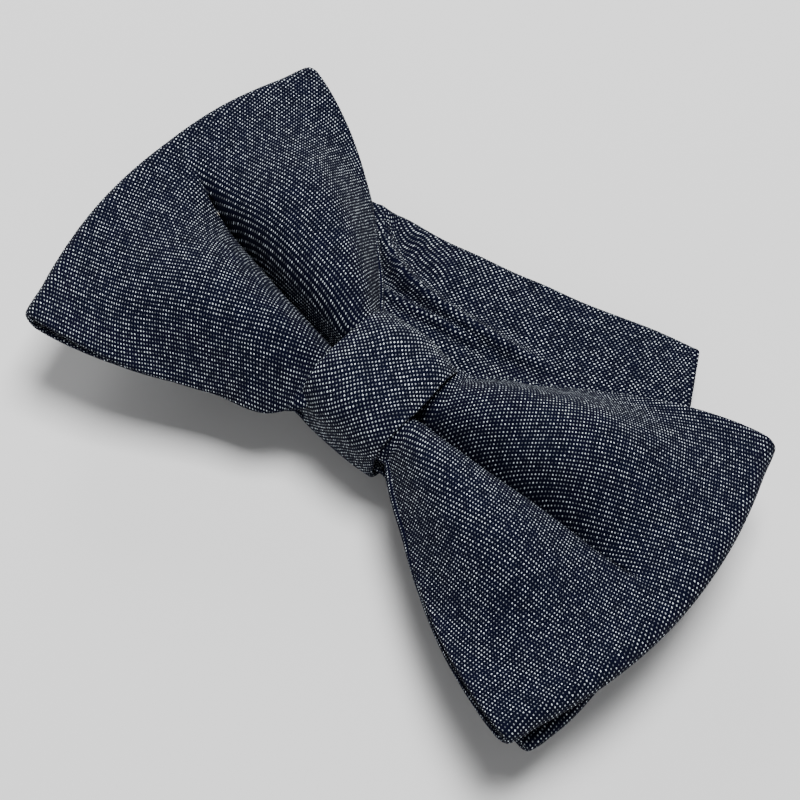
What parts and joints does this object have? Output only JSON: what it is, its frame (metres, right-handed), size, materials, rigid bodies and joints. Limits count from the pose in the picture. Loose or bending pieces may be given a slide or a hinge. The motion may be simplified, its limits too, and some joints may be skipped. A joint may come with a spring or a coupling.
{
  "type": "bow tie",
  "caption": "Pre-tied bow tie in dark navy chambray: two stacked pleated bows held by a knot wrap, with a folded neck strap, slide adjuster, ring and hook.",
  "frame": {"origin": "middle of the box's footprint, on the surface that the tie lies on", "axes": "+X along the bow's width, +Y up its height, +Z out of its front"},
  "size_m": [0.12, 0.0786, 0.025],
  "materials": {
    "chambray": "dark navy plain weave with fine white weft dots",
    "canvas": "undyed woven interlining",
    "thread": "navy sewing thread",
    "nickel": "bright nickel plate"
  },
  "bodies": {
    "bow_and_strap": {"front_bow": "chambray", "front_bow_interlining": "canvas", "back_bow": "chambray", "back_bow_interlining": "canvas", "waist_binding": "thread", "knot_wrap": "chambray", "knot_padding": "canvas", "neck_strap": "chambray", "hook_bar_tack": "thread"},
    "strap_end": {"strap_loop_end": "chambray"},
    "ring": {"ring": "nickel"},
    "slider": {"slider": "nickel", "strap_return": "chambray", "slider_bar_tack": "thread"},
    "hook": {"hook": "nickel"}
  },
  "joints": [
    {"name": "strap_end_slide", "type": "slide", "parent": "bow_and_strap", "child": "strap_end", "axis": [1, 0, 0], "range_m": [-0.005, 0.005]},
    {"name": "slider_slide", "type": "slide", "parent": "strap_end", "child": "slider", "axis": [1, 0, 0], "range_m": [-0.005, 0.005]},
    {"name": "ring_swing", "type": "hinge", "parent": "strap_end", "child": "ring", "pos_m": [-0.012, 0.00319, 0.00325], "axis": [0, 1, 0], "range_deg": [-25, 6]},
    {"name": "hook_swing", "type": "hinge", "parent": "bow_and_strap", "child": "hook", "pos_m": [-0.039, 0.00319, 0.0017], "axis": [0, 1, 0], "range_deg": [-6, 25]}
  ],
  "couplings": [
    {"joint": "slider_slide", "follows": "strap_end_slide", "ratio": 1}
  ]
}
